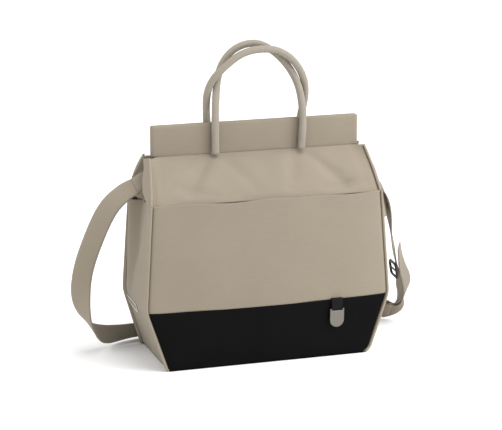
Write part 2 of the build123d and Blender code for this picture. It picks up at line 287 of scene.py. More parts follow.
def noise(tree, vector, scale, detail=2.0, roughness=0.5):
    node = tree.nodes.new("ShaderNodeTexNoise")
    node.inputs["Scale"].default_value = scale
    node.inputs["Detail"].default_value = detail
    node.inputs["Roughness"].default_value = roughness
    link(tree, vector, node.inputs["Vector"])
    return node.outputs["Fac"]


def wave(tree, vector, scale, direction, distortion=0.0):
    node = tree.nodes.new("ShaderNodeTexWave")
    node.bands_direction = direction
    node.inputs["Scale"].default_value = scale
    node.inputs["Distortion"].default_value = distortion
    link(tree, vector, node.inputs["Vector"])
    return node.outputs["Fac"]


def math_node(tree, operation, a, b):
    node = tree.nodes.new("ShaderNodeMath")
    node.operation = operation
    for socket, value in zip(node.inputs, (a, b)):
        if isinstance(value, (int, float)):
            socket.default_value = value
        else:
            link(tree, value, socket)
    return node.outputs["Value"]


def ramp(tree, factor, dark, light, low=0.0, high=1.0):
    node = tree.nodes.new("ShaderNodeValToRGB")
    node.color_ramp.elements[0].position = low
    node.color_ramp.elements[0].color = (*dark, 1)
    node.color_ramp.elements[1].position = high
    node.color_ramp.elements[1].color = (*light, 1)
    link(tree, factor, node.inputs["Fac"])
    return node.outputs["Color"]


def bump(tree, shader, height, distance, strength=1.0):
    node = tree.nodes.new("ShaderNodeBump")
    node.inputs["Distance"].default_value = distance
    node.inputs["Strength"].default_value = strength
    link(tree, height, node.inputs["Height"])
    link(tree, node.outputs["Normal"], shader.inputs["Normal"])


def tint(color, factor):
    return tuple(c * factor for c in color)


def weighted_sum(tree, *pairs):
    """Adds up node outputs, each times its weight."""
    total = None
    for value, weight in pairs:
        part = math_node(tree, "MULTIPLY", value, weight)
        total = part if total is None else math_node(tree, "ADD", total, part)
    return total


def paint(tree, shader, factor, color, shades, span):
    """The base colour runs between two shades of color while the factor runs over the span."""
    dark, light = shades
    colors = ramp(tree, factor, tint(color, dark), tint(color, light), *span)
    link(tree, colors, shader.inputs["Base Color"])


def woven(name, color, thread=0.0009, relief=0.00012, slub=0.10, sheen=0.1):
    """Cloth with crossed threads. Its weave lies in the piece's own cloth coordinates, in metres."""
    material, tree, shader = new_material(name, 0.9, Sheen_Weight=sheen, Sheen_Roughness=0.5,
                                          Specular_IOR_Level=0.2)
    coordinates = tree.nodes.new("ShaderNodeTexCoord")
    uv, place = coordinates.outputs["UV"], coordinates.outputs["Object"]
    bands = 2 * math.pi / (20 * thread)     # wave scale that gives one band to each thread
    warp = wave(tree, uv, bands, "X", 2.5)
    weft = wave(tree, uv, bands, "Y", 2.5)
    weave = math_node(tree, "MULTIPLY", warp, weft)
    fleck = noise(tree, uv, 900, 3, 0.6)
    stretch = tree.nodes.new("ShaderNodeMapping")
    stretch.inputs["Scale"].default_value = (40, 500, 1)
    link(tree, uv, stretch.inputs["Vector"])
    slubs = noise(tree, stretch.outputs["Vector"], 1.0, 2, 0.5)
    cloud = noise(tree, place, 9, 3, 0.55)
    mixed = weighted_sum(tree, (fleck, 0.4), (cloud, 0.2), (slubs, 0.12), (weave, 0.28))
    paint(tree, shader, mixed, color, (1 - 2 * slub, 1 + 1.6 * slub), (0.25, 0.7))
    bump(tree, shader, weighted_sum(tree, (weave, 1.0), (fleck, 0.6)), relief, 0.6)
    return material


def webbing_cloth(name, color):
    """Narrow woven band: ribs across it and a fine chevron along it."""
    material, tree, shader = new_material(name, 0.8, Sheen_Weight=0.1, Sheen_Roughness=0.5,
                                          Specular_IOR_Level=0.25)
    uv = tree.nodes.new("ShaderNodeTexCoord").outputs["UV"]
    ribs = wave(tree, uv, 240, "Y", 1.5)
    columns = wave(tree, uv, 200, "X", 0.8)
    fleck = noise(tree, uv, 600, 3, 0.6)
    weave = math_node(tree, "MULTIPLY", ribs, columns)
    mixed = weighted_sum(tree, (weave, 0.35), (fleck, 0.6))
    paint(tree, shader, mixed, color, (0.88, 1.12), (0.2, 0.8))
    bump(tree, shader, math_node(tree, "ADD", weave, fleck), 0.00015, 0.6)
    return material


def coated_cloth(name, color, grain=420.0):
    """Black coated cloth or leather: fine grain, low sheen, faint clouds in its gloss."""
    material, tree, shader = new_material(name, 0.5, Specular_IOR_Level=0.05)
    place = tree.nodes.new("ShaderNodeTexCoord").outputs["Object"]
    cells = tree.nodes.new("ShaderNodeTexVoronoi")
    cells.inputs["Scale"].default_value = grain
    link(tree, place, cells.inputs["Vector"])
    cloud = noise(tree, place, 14, 3, 0.6)
    gloss = tree.nodes.new("ShaderNodeMapRange")
    gloss.inputs["To Min"].default_value = 0.46
    gloss.inputs["To Max"].default_value = 0.62
    link(tree, cloud, gloss.inputs["Value"])
    link(tree, gloss.outputs["Result"], shader.inputs["Roughness"])
    paint(tree, shader, cloud, color, (0.8, 1.3), (0.3, 0.7))
    bump(tree, shader, cells.outputs["Distance"], 0.0001, 0.5)
    return material


def satin_metal(name, color, roughness):
    """Brushed metal with fine lines and a slightly uneven finish."""
    material, tree, shader = new_material(name, roughness, 1.0)
    place = tree.nodes.new("ShaderNodeTexCoord").outputs["Object"]
    stretch = tree.nodes.new("ShaderNodeMapping")
    stretch.inputs["Scale"].default_value = (3500, 200, 60)
    link(tree, place, stretch.inputs["Vector"])
    lines = noise(tree, stretch.outputs["Vector"], 1.0, 3, 0.6)
    paint(tree, shader, lines, color, (0.85, 1.1), (0.3, 0.7))
    bump(tree, shader, lines, 0.00003, 0.5)
    return material


def plain_finish(name, color, roughness):
    """Moulded or painted surface with a faint mottle."""
    material, tree, shader = new_material(name, roughness)
    place = tree.nodes.new("ShaderNodeTexCoord").outputs["Object"]
    mottle = noise(tree, place, 60, 3, 0.6)
    paint(tree, shader, mottle, color, (0.85, 1.15), (0.3, 0.7))
    bump(tree, shader, noise(tree, place, 900, 2, 0.5), 0.00005, 0.4)
    return material


TAUPE = (0.254, 0.217, 0.166)
canvas = woven("canvas", TAUPE)
handle_cloth = woven("handle_cloth", (0.292, 0.261, 0.214), thread=0.0007)
# Dark cloth, 0.4 of the canvas: the handles' seams, and painted shade in the grooves beside the front
# pipings
seam_and_groove_shade = woven("seam_and_groove_shade", tint(TAUPE, 0.4), sheen=0.0)
piping_cloth = woven("piping_cloth", tint(TAUPE, 1.1), thread=0.0006, relief=0.00008)
lining_cloth = woven("lining_cloth", (0.35, 0.32, 0.26), thread=0.0005, relief=0.00006, slub=0.05)
label_cloth = woven("label_cloth", tint(TAUPE, 0.85), thread=0.0004, relief=0.00005)
label_border = woven("label_border", (0.60, 0.58, 0.52), thread=0.0004, relief=0.00005, slub=0.04)
webbing = webbing_cloth("webbing", tint(TAUPE, 1.05))
# A darker copy of the webbing: painted shade on the inner faces of the strap and its tail
webbing_painted_shade = webbing_cloth("webbing_painted_shade", tint(TAUPE, 0.85))
coated = coated_cloth("coated_base", (0.0025, 0.0025, 0.0027))
black_leather = coated_cloth("black_leather", (0.0075, 0.0075, 0.008), grain=700)
cap_metal = satin_metal("cap_metal", (0.19, 0.178, 0.156), 0.4)
slider_metal = plain_finish("slider_metal", (0.011, 0.009, 0.007), 0.5)
board_plastic = plain_finish("board", (0.05, 0.05, 0.05), 0.7)
magnet_metal = satin_metal("magnet_metal", (0.6, 0.6, 0.6), 0.3)
rope_cloth = woven("rope", (0.55, 0.51, 0.43), thread=0.002, relief=0.0003)

# ---------------------------------------------------------------------------------------------
# Shoulder strap: route points from part.py, in millimetres, moved a little. On the left it
# curls under where it reaches the floor, so that its inner face shows there. Each point has its
# direction across the webbing.
# ---------------------------------------------------------------------------------------------
WEBBING_COLUMNS = 9
STRAP_ROWS = 520
STRAP_SMOOTHING = 12        # rows averaged on each side of a row
DIRECTION_SPAN = 15         # rows over which the directions across are averaged
STRAP_DOWN = [
    (-198, 0, 285),
    (-221, 2, 276),
    (-243, 9, 250),
    (-261, 25, 198),
    (-277, 37, 147),
    (-282, 37, 106),
    (-279.5, 37, 82),
    (-272, 42, 59),
    (-254, 58, 32),
    (-224, 80, 19),
    (-196, 95, 18.5),
]
DOWN_ACROSS = [
    (0.4, -0.82, -0.4),
    (0.62, -0.7, -0.35),
    (0.82, -0.52, -0.25),
    (0.92, -0.38, -0.1),
    (0.95, -0.25, 0),
    (0.93, -0.2, 0.3),
    (0.62, -0.75, 0.2),
    (0.1, -0.98, -0.1),
    (0.35, -0.6, -0.7),
    (0.1, 0.2, -0.97),
    (-0.1, 0.45, -0.88),
]
STRAP_BACK = [
    (-160, 102, 18.5),
    (-115, 112, 18),
    (-20, 110, 18),
    (75, 113, 19),
    (155, 110, 18),
    (215, 101, 17),
    (254, 86, 17),
    (275, 70, 23),
    (281, 58, 43),
    (278, 49, 66),
    (271, 41, 90),
    (264, 35, 113),
    (256, 28, 138),
    (245, 18, 172),
    (237, 8, 206),
    (229, 0, 241),
    (215, 0, 268),
    (198, 0, 284),
]
BACK_ACROSS = [
    (-0.1, 0.5, -0.85),
    (0, 0.35, -0.93),
    (0, 0, -1),
    (0, 0, -1),
    (0, 0, -1),
    (0, 0.2, -1),
    (0, 0.3, -1),
    (0, 0.5, -0.8),
    (0, 0.9, -0.3),
    (0, 1, 0),
    (0.1, 1, 0),
    (0.35, 0.95, 0),
    (0.45, 0.88, 0),
    (0.38, 0.92, 0),
    (0.05, 1, 0),
    (0, 1, 0.1),
    (0, 0.8, 0.4),
    (0, 0.3, 0.9),
]


def spread(values, line, anchors):
    """Directions given at control points, carried smoothly to every point of the line."""
    nearest = [int(np.argmin(np.linalg.norm(line - np.array(lift(a)), axis=1))) for a in anchors]
    nearest[0], nearest[-1] = 0, len(line) - 1
    nearest = np.maximum.accumulate(nearest)
    index = np.arange(len(line))
    values = unit(np.array(values, float))
    spread_out = np.stack([np.interp(index, nearest, values[:, i]) for i in range(3)], 1)
    padded = np.pad(spread_out, ((DIRECTION_SPAN // 2,) * 2, (0, 0)), "edge")
    kernel = np.ones(DIRECTION_SPAN) / DIRECTION_SPAN
    return np.stack([np.convolve(padded[:, i], kernel, "valid") for i in range(3)], 1)


def band_rows(points, across, offsets, count):
    """Rows of points across a band that follows the control points."""
    line = resample(smooth_line(points), count)
    _, side, _ = frames(line, spread(across, line, points))
    return line[:, None] + side[:, None] * offsets[None, :, None]


def paint_inner_shade(piece, rows, columns, back):
    """Paints shade on the webbing's inner face, which turns away from the light: its faces take a darker
    copy of the webbing. back tells which of the sheet's two faces it is: 0 for the first, 1 for the
    second."""
    piece.data.materials.append(webbing_painted_shade)
    count = rows * columns
    for polygon in piece.data.polygons[back * count:(back + 1) * count]:
        polygon.material_index = 1


def make_strap():
    offsets = np.linspace(-0.5, 0.5, WEBBING_COLUMNS) * WEBBING_WIDTH * MM
    rows = band_rows(STRAP_DOWN + STRAP_BACK, DOWN_ACROSS + BACK_ACROSS, offsets, STRAP_ROWS)
    spans = [(i, min(STRAP_SMOOTHING, i, STRAP_ROWS - 1 - i)) for i in range(STRAP_ROWS)]
    rows = np.stack([rows[i - reach:i + reach + 1].mean(0) for i, reach in spans])
    piece = cloth_from_grid("shoulder_strap_webbing", rows, webbing, WEBBING_THICKNESS, middle=True)
    paint_inner_shade(piece, STRAP_ROWS - 1, WEBBING_COLUMNS - 1, 0)
    finish_piece(piece, "body", "webbing", "shoulder_strap")
    line = rows[:, WEBBING_COLUMNS // 2]
    return piece, line, float(arc_length(line)[-1])


strap, strap_line, strap_length = make_strap()


# ---------------------------------------------------------------------------------------------
# Body surfaces, in millimetres
# ---------------------------------------------------------------------------------------------
def half_width(z, hand=1, y=0.0):
    """Half width of the bag over its pipings at height z, with soft corners at the seam and the floor.
    The front, at negative y, flares out a little around the seam."""
    seam_round = 1.5
    lower = BASE_HALF_WIDTH + (SEAM_HALF_WIDTH - BASE_HALF_WIDTH) * z / SEAM_Z
    upper = SEAM_HALF_WIDTH + (HEM_HALF_WIDTH - SEAM_HALF_WIDTH) * (z - SEAM_Z) / (HEM_Z - SEAM_Z)
    width = -seam_round * np.logaddexp(-lower / seam_round, -upper / seam_round)
    front = np.clip(-np.asarray(y, float) / HALF_DEPTH, 0, 1) ** 2
    hem_flare = np.where(np.asarray(hand) < 0, HEM_FLARE[-1], HEM_FLARE[1])
    share = np.clip((z - SEAM_Z) / (HEM_Z - SEAM_Z), 0, 1)
    flare = FRONT_FLARE * np.clip(z / SEAM_Z, 0, 1) * (1 - share) + hem_flare * share
    corner = np.where(np.asarray(hand) < 0, BASE_CORNER[-1], BASE_CORNER[1])
    dip = np.clip(corner - z, 0, corner)
    return width + flare * front - (corner - np.sqrt(corner ** 2 - dip ** 2))


def ripple(x, z, seed, size=55.0):
    """A smooth, uneven field of about unit height, for sag and soft creases."""
    rng = np.random.default_rng(seed)
    total = np.zeros(np.broadcast(x, z).shape)
    for _ in range(7):
        angle, phase = rng.uniform(0, 2 * math.pi, 2)
        length = size * rng.uniform(0.8, 2.2)
        total += np.sin((x * math.cos(angle) + z * math.sin(angle)) * 2 * math.pi / length + phase)
    return total / 4


def crease(x, z, start, end, width, depth):
    """A soft valley along the line from start to end, each (x, z)."""
    dx, dz = end[0] - start[0], end[1] - start[1]
    length = math.hypot(dx, dz)
    along = np.clip(((x - start[0]) * dx + (z - start[1]) * dz) / length ** 2, 0, 1)
    away = np.hypot(x - start[0] - along * dx, z - start[1] - along * dz)
    return -depth * np.exp(-(away / width) ** 2) * np.sin(math.pi * np.clip(along, 0.08, 0.92)) ** 0.5


BULGE = 9.0
BULGE_Z = 130.0             # height at which the front and back stand out most


def face_bulge(share, z):
    """How far the front or back stands out from the plane of its pipings."""
    middle = np.clip(1 - share ** 2, 0, 1) ** 0.8
    low = np.sin(np.clip(z / BULGE_Z, 0, 1) * math.pi / 2) ** 1.3
    high = 1 - 0.45 * np.clip((z - BULGE_Z) / 140, 0, 1)
    return BULGE * middle * low * high


def edge_tuck(x, edge, depth=2.2, width=2.6):
    """The panel dips into the seam beside the piping."""
    return -depth * np.exp(-np.clip(edge - np.abs(x), 0, None) / width)


PANEL_SAG = 1.6             # how far the seam above the base hangs down in the middle
GAPE = 4.0                  # how far the front pocket's mouth stands open above the pull tab
GAPE_X, GAPE_Z = 118.0, 215.0


def front_pocket_place(side):
    """The front or back slip pocket, from the base seam up to its mouth."""
    def place(s, t):
        z = SEAM_Z + (HEM_Z - SEAM_Z) * t
        share = 2 * s - 1
        edge = half_width(z, np.sign(share), side * HALF_DEPTH) - PANEL_INSET
        x = share * edge
        sag = PANEL_SAG * (1 - share ** 2) * (1 - t)
        wavy = (1.2 * np.sin(x / 31 + 0.6) + 0.8 * np.sin(x / 17 + 2)) * t ** 6 * (1 - share ** 8)
        gape = np.exp(-((x - GAPE_X) / 34) ** 2) * np.clip((z - GAPE_Z) / (HEM_Z - GAPE_Z), 0, 1) ** 1.5
        depth = HALF_DEPTH + face_bulge(share, z) + edge_tuck(x, edge)
        depth = depth + 0.8 * ripple(x, z, 4, 80) * (1 - share ** 6) + GAPE * gape
        return x, side * depth, z - sag + wavy
    return place


def base_place(s, t):
    """The coated base from the front seam, under the floor and up to the back seam."""
    share = 2 * s - 1
    corner = 7.0                # round between the walls and the floor
    wall, floor = SEAM_Z, 2 * HALF_DEPTH
    run = (2 * wall + floor) * t
    down = run < wall
    up = run > wall + floor
    z = np.where(down, wall - run, np.where(up, run - wall - floor, 0.0))
    across = np.where(down, -HALF_DEPTH, np.where(up, HALF_DEPTH, run - wall - HALF_DEPTH))
    edge = half_width(np.maximum(z, 1.5), np.sign(share), across) - PANEL_INSET
    x = share * edge
    stand = face_bulge(share, z) + edge_tuck(x, edge) * np.clip(z / 8, 0, 1)
    stand = stand + 0.35 * ripple(x, z, 9, 90) * np.clip(z / 40, 0, 1)
    inward = np.clip(corner - z, 0, corner)
    pull = corner - np.sqrt(corner ** 2 - inward ** 2)
    y = np.where(down, across - stand + pull, np.where(up, across + stand - pull, across))
    sag = PANEL_SAG * (1 - share ** 2) * np.clip(z / SEAM_Z, 0, 1) ** 2
    return x, y, np.maximum(np.where(down | up, z - sag, 0.0), 0.2)


VALLEY_Y, VALLEY_DEPTH = 36, 16.0
PUFF_Y, PUFF_HEIGHT = 62, 11.0


def side_relief(y, z):
    """How far the side pocket stands out: an upright valley behind the middle and a loose puff at the
    back, both strongest at the mouth, and a soft belly lower down."""
    rise = np.clip((z - 75) / 190, 0, 1) ** 1.2
    valley = -VALLEY_DEPTH * np.exp(-((y - VALLEY_Y) / np.where(y < VALLEY_Y, 22, 12)) ** 2)
    puff = PUFF_HEIGHT * np.exp(-((y - PUFF_Y) / 12) ** 2)
    flat = -2.0 * np.exp(-((y + 25) / 30) ** 2)
    belly = 3.0 * (np.sin(math.pi * np.clip((y + 80) / 160, 0, 1))
                   * np.sin(math.pi * np.clip(z / 170, 0, 1)))
    return (valley + puff + flat) * rise + belly


def side_droop(y):
    """How far the side pocket's hem hangs below its front corner."""
    return 17.0 * np.clip((y + 72) / 120, 0, 1) ** 1.2 * np.clip((96 - y) / 24, 0.55, 1)


def side_pocket_place(hand):
    """A side pocket, from the floor up to its hanging mouth."""
    def place(s, t):
        share = 2 * s - 1
        edge = HALF_DEPTH - SIDE_INSET
        y = share * edge
        z = HEM_Z * t - side_droop(y) * np.clip((t - 0.6) / 0.4, 0, 1)
        relief = side_relief(y, z) * (1 - np.abs(share) ** 8) + edge_tuck(y, edge, 1.8, 2.4)
        relief = relief + 0.5 * ripple(y, z, 21, 60)
        return hand * (half_width(np.maximum(z, 1.5), hand, y) - 3.4 + relief), y, z
    return place


def make_body():
    for side, name in ((-1, "front"), (1, "back")):
        pocket = cloth(f"{name}_pocket_canvas", front_pocket_place(side), canvas, 72, 150,
                       CANVAS_THICKNESS, flip=side > 0)
        finish_piece(pocket, "body", "canvas", f"{name}_pocket")
    base = cloth("coated_base_cloth", base_place, coated, 150, 150, BASE_THICKNESS, flip=True)
    finish_piece(base, "body", "coated_base", "base_shell")
    for hand, name in ((-1, "left"), (1, "right")):
        wall = cloth(f"{name}_side_canvas", side_pocket_place(hand), canvas, 110, 70,
                     SIDE_THICKNESS, flip=hand < 0)
        finish_piece(wall, "body", "canvas", f"{name}_side_pocket")


make_body()


# ---------------------------------------------------------------------------------------------
# Upright pipings
# ---------------------------------------------------------------------------------------------
def corner_line(hand, side, low, high, count):
    """The middle of an upright piping, in metres."""
    z = np.linspace(low, high, count)
    x = hand * (half_width(z, hand, side * HALF_DEPTH) - PIPING_RADIUS + 1.0)
    y = np.full_like(z, side * (HALF_DEPTH - 1.4))
    return np.stack([x, y, z], 1) * MM


def make_pipings():
    # The front flanges take the dark seam cloth: painted shade in the grooves on both sides of the front
    # pipings; the back flanges are plain canvas
    for side, name, cord_cloth, flange_shade_cloth in ((-1, "front", piping_cloth, seam_and_groove_shade),
                                                 (1, "back", canvas, canvas)):
        for hand, hand_name in ((-1, "left"), (1, "right")):
            line = corner_line(hand, side, 1.9, HEM_Z - 1.0, 90)
            piping = tube(f"{name}_{hand_name}_piping_cord", line, PIPING_RADIUS, cord_cloth, 12)
            finish_piece(piping, "body", "piping", f"{name}_{hand_name}_piping")
            inner = line - np.array([hand, side, 0]) * PIPING_RADIUS * MM
            flange = tube(f"{name}_{hand_name}_piping_flange", inner, 2.3, flange_shade_cloth, 8)
            finish_piece(flange, "body", "piping")


make_pipings()


# ---------------------------------------------------------------------------------------------
# Tops: slopes, folded gussets and closure strips
# ---------------------------------------------------------------------------------------------
END_SPREAD = 12.0           # how much further apart the slopes' free ends stand
SLOPE_OUT_Y, SLOPE_OUT_Z = 0.69, 0.73       # direction out of a slope
SLOPE_RISE = 92.0           # length of a slope from the pocket's mouth to the closure
SLOPE_CREASES = (           # start (x, up the slope), end, width, depth
    ((-78, 88), (-128, 20), 11, 3.2),
    ((78, 88), (132, 22), 11, 3.4),
    ((-60, 84), (-20, 26), 12, 2.0),
    ((62, 84), (40, 18), 12, 2.4),
    ((100, 14), (165, 22), 9, 2.6),
    ((-150, 34), (-90, 12), 10, 2.0),
)


def slope_point(side, share, t):
    """A point of a slope: share runs across the bag, t from the pocket's mouth to the closure."""
    strip_face = side * CLOSURE_Y + 6.0
    foot = HALF_DEPTH - 3.0
    spread = END_SPREAD * np.clip((np.abs(share) - 0.88) / 0.12, 0, 1) ** 2
    head = strip_face + spread
    belly = (5.0 if side < 0 else 8.0) * np.sin(math.pi * t) * (1 - 0.4 * np.abs(share) ** 4)
    y = foot + (head - foot) * t
    z = HEM_Z - 2 + (CLOSURE_Z - HEM_Z + 2) * t
    flare = np.where(share < 0, HEM_FLARE[-1], HEM_FLARE[1]) * (1 - t) * (side < 0)
    x = share * (HEM_HALF_WIDTH + (TOP_HALF_WIDTH - HEM_HALF_WIDTH) * t + flare - PANEL_INSET)
    return x, side * (y + belly * SLOPE_OUT_Y), z + belly * SLOPE_OUT_Z


def slope_folds(x, t):
    """Soft creases that run from the handle roots to the lower corners, in millimetres of relief."""
    rise = t * SLOPE_RISE
    total = 1.3 * ripple(x, rise, 31, 70)
    for start, end, width, depth in SLOPE_CREASES:
        total = total + crease(x, rise, start, end, width, depth)
    return 1.6 * total * np.clip(t * 6, 0, 1) * np.clip((1 - t) * 8, 0, 1)


def slope_place(side):
    """The front or back slope with its creases."""
    def place(s, t):
        share = 2 * s - 1
        x, y, z = slope_point(side, share, t)
        edge = TOP_HALF_WIDTH - PANEL_INSET + (1 - t) * 6
        relief = slope_folds(-side * x, t) * (1 - share ** 10) + edge_tuck(x, edge) * 0.8
        return x, y + side * relief * SLOPE_OUT_Y, z + relief * SLOPE_OUT_Z
    return place


FOLD_SHARE = (0.0, 0.07, 0.16, 0.31, 0.57, 0.76, 1.0)      # heights up a slope
FRONT_FLAT = (5.0, 8.0, 15.0, 22.0, 22.0, 17.0, 17.0)       # width of the front half that stays flat
BACK_FLAT = (26.0, 22.0, 16.0, 12.0, 10.0, 8.0, 7.0)


def fold_place(hand, side):
    """Half of a folded upper gusset, from the slope's edge (s = 0) in to the valley (s = 1)."""
    flat_share = 0.34           # share of the half that lies flat beside the slope

    def place(s, t):
        x0, y0, z0 = slope_point(side, hand * 1.0, t)
        x0, z0 = x0 + hand * 2.0, z0 - 4.0 * (1 - t) ** 4
        flat = np.interp(t, FOLD_SHARE, FRONT_FLAT if side < 0 else BACK_FLAT)
        x1, y1, z1 = x0 + hand * 0.34 * flat, y0 - side * 0.94 * flat, z0 - 0.12 * flat
        deep = np.clip(t / 0.3, 0, 1) ** 0.8
        x2 = hand * (176 - 26 * deep - 40 * t)
        y2 = 12 - 17 * t
        z2 = HEM_Z - 12 + (CLOSURE_Z - HEM_Z + 12) * t
        first = np.clip(s / flat_share, 0, 1)
        rest = np.clip((s - flat_share) / (1 - flat_share), 0, 1)
        inward = rest ** 0.75
        x = x0 + (x1 - x0) * first + (x2 - x1) * inward
        y = y0 + (y1 - y0) * first + (y2 - y1) * rest
        z = z0 + (z1 - z0) * first + (z2 - z1) * rest
        soft = 1.2 * ripple(y, z, 41, 50) * np.sin(math.pi * s)
        return x + hand * soft, y, z
    return place


def blend_across_fold(piece):
    """Bakes the half gusset's placement into its mesh; its shape, from the slope's edge in to the
    valley, comes from fold_place.
    """
    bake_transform(piece)


def make_strip(side, name):
    """A closure strip: a board in a cloth sleeve, with round edges and a slight wave."""
    columns, ring = 140, 28
    near = CLOSURE_Y + side * 0.5
    thick, height = 5.3, STRIP_TOP - CLOSURE_Z + 1.5
    middle_z = CLOSURE_Z + (STRIP_TOP - CLOSURE_Z) / 2 - 0.7
    end_round_size = 2.2
    xs = np.linspace(-1, 1, columns)
    angle = np.linspace(0, 2 * math.pi, ring, endpoint=False)
    local_y = np.sign(np.cos(angle)) * np.abs(np.cos(angle)) ** 0.5 * thick / 2
    local_z = np.sign(np.sin(angle)) * np.abs(np.sin(angle)) ** 0.22 * height / 2
    points, uvs = [], []
    for x in xs:
        end_round = min(1.0, (1 - abs(x)) * STRIP_HALF_WIDTH / end_round_size)
        shrink = math.sqrt(max(0.0, 1 - (1 - end_round) ** 2))
        for a, (ly, lz) in enumerate(zip(local_y, local_z)):
            z = middle_z + lz * (0.94 + 0.06 * shrink)
            wave_out = (0.5 * math.sin(x * 9) + 0.35 * math.sin(x * 21 + 1)) * 0.6 * (lz / height + 0.5)
            y = near + side * thick / 2 + ly * (0.25 + 0.75 * shrink) + wave_out
            points.append((x * STRIP_HALF_WIDTH * MM, y * MM, z * MM))
            uvs.append((x * STRIP_HALF_WIDTH * MM, lz * MM + a * 0.0001))
    faces = grid_faces(columns, ring, closed=True)
    faces.append(tuple(reversed(range(ring))))
    faces.append(tuple((columns - 1) * ring + i for i in range(ring)))
    return make_object(name, points, faces, canvas, uvs)


def make_tops():
    for side, name in ((-1, "front"), (1, "back")):
        top = f"{name}_top"
        slope = cloth(f"{name}_slope_canvas", slope_place(side), canvas, 60, 170, CANVAS_THICKNESS,
                      flip=side > 0)
        finish_piece(slope, top, "canvas", f"{name}_slope", f"{name}_left_handle_stub",
                     f"{name}_right_handle_stub")
        strip = make_strip(side, f"{name}_strip_cloth")
        finish_piece(strip, top, "canvas", f"{name}_strip")
        for hand, hand_name in ((-1, "left"), (1, "right")):
            t = np.linspace(0.0, 1.0, 40)
            x, y, z = slope_point(side, hand * 1.0, t)
            line = np.stack([x + hand * 1.6, y, z], 1) * MM
            piping = tube(f"{name}_slope_{hand_name}_cord", line, PIPING_RADIUS, piping_cloth, 12)
            finish_piece(piping, top, "piping", f"{name}_slope_{hand_name}_piping")
            fold = cloth(f"{name}_{hand_name}_folded_gusset", fold_place(hand, side), canvas, 50, 50,
                         FOLD_THICKNESS, flip=hand * side < 0)
            blend_across_fold(fold)
            if side < 0:
                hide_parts(f"{hand_name}_gusset_fold")


make_tops()


# ---------------------------------------------------------------------------------------------
# Handles
# ---------------------------------------------------------------------------------------------
# The back handle leans over in front of the front one, so that their arches cross twice.
FRONT_HANDLE = [
    (-70.5, -18.5, 333),
    (-70.5, -18.3, 352),
    (-70.3, -17.5, 378),
    (-69.4, -15, 402),
    (-67.0, -10, 423),
    (-63.0, -4, 447),
    (-56.5, 0.5, 469),
    (-46, 2.2, 484.5),
    (-32, 3, 496),
    (-15, 3.2, 503),
    (2, 3.2, 504),
    (17, 3, 499.5),
    (31, 2.2, 491),
    (45.5, 0.8, 478),
    (57, -2.3, 464),
    (65.8, -6, 448.5),
    (72.3, -9.8, 430.5),
    (75.3, -13, 411),
    (76.8, -16.5, 389),
    (76, -18, 363),
    (74.5, -18.4, 348),
    (73.7, -18.5, 333),
]
BACK_HANDLE = [
    (-76, 8.5, 333),
    (-76, 8.5, 355),
    (-76.2, 8.3, 378),
    (-78, 6, 399),
    (-79.5, 1, 416),
    (-78.5, -4.5, 434),
    (-73, -9.5, 449),
    (-65, -12.6, 459.5),
    (-55, -13.8, 469),
    (-43.5, -14, 478.5),
    (-31, -14, 487),
    (-18, -13.8, 492.5),
    (-4, -13.4, 495.5),
    (9, -13, 496),
    (22.5, -13, 495.2),
    (34, -13, 493),
    (46, -12.5, 487),
    (58, -11.4, 478.5),
    (69, -9.5, 467),
    (78.3, -7, 452),
    (84.5, -3.5, 436),
    (86.8, 0.8, 419),
    (85.2, 4.8, 401),
    (81.5, 7.3, 385),
    (79.3, 8.2, 368),
    (78.8, 8.5, 350),
    (79, 8.5, 333),
]


HANDLE_ROWS = 200
HANDLE_RADIUS = 6.15
HANDLE_SLIMMING = 0.5       # how much thinner the cover is at the crown
ROPE_RADIUS = 3.9
ROPE_END = 12               # rows at each end that the rope leaves free
SEAM_RADIUS, SEAM_OFF = 0.55, 5.55
FLAT_END = 0.02             # metres over which the sewn ends go from flat to round


def make_handle(name, points):
    """A handle: its cloth cover, uneven and flat at the ends, the seam inside the arch and the rope."""
    line = resample(smooth_line(points, order=4), HANDLE_ROWS)
    place = np.linspace(0, 1, HANDLE_ROWS)
    end = np.minimum(place, 1 - place) * arc_length(line)[-1] / FLAT_END
    flat = np.clip(0.62 + 0.38 * end, 0.6, 1)
    radius = HANDLE_RADIUS + 0.08 * np.sin(place * 240) + 0.12 * np.sin(place * 61 + 1)
    radius = radius - HANDLE_SLIMMING * np.sin(math.pi * place) ** 2
    cover = tube(f"{name}_handle_cloth", line, radius, handle_cloth, 22, flat=flat)
    finish_piece(cover, f"{name}_handle", "canvas", f"{name}_handle_cover", f"{name}_handle_left_tongue",
                 f"{name}_handle_right_tongue")
    _, _, up = frames(line, np.broadcast_to(np.array([0, 1.0, 0]), line.shape))
    seam = tube(f"{name}_handle_seam", line - up * SEAM_OFF * MM, SEAM_RADIUS, seam_and_groove_shade, 8)
    finish_piece(seam, f"{name}_handle", "canvas")
    core = tube(f"{name}_handle_rope", line[ROPE_END:-ROPE_END], ROPE_RADIUS, rope_cloth, 12)
    finish_piece(core, f"{name}_handle", "rope_core", f"{name}_handle_core")


make_handle("front", FRONT_HANDLE)
make_handle("back", BACK_HANDLE)


# ---------------------------------------------------------------------------------------------
# Strap tabs, slider, tail, label and pull tab
# ---------------------------------------------------------------------------------------------
LEFT_TAB = [(-150, 8, 300), (-172, 5, 297), (-190, 2, 290), (-205, 0, 280)]
RIGHT_TAB = [
    (150, 8, 292),
    (172, 5, 286),
    (192, 0, 276),
    (212, -4, 264),
    (221, -6, 242),
    (224, -8, 207),
]
TAB_THICKNESS = 3.4


def make_tab(name, points, start, end, turn):
    """A webbing tab that turns from lying across start to lying across end, turn times as fast as it
    runs."""
    line = resample(smooth_line(points), 40)
    share = np.minimum(1, np.linspace(0, turn, 40))[:, None]
    tab = band(f"{name}_tab_webbing", line, np.array(start) * (1 - share) + np.array(end) * share,
               WEBBING_WIDTH * MM, TAB_THICKNESS * MM, webbing)
    finish_piece(tab, "body", "webbing", f"{name}_strap_tab")


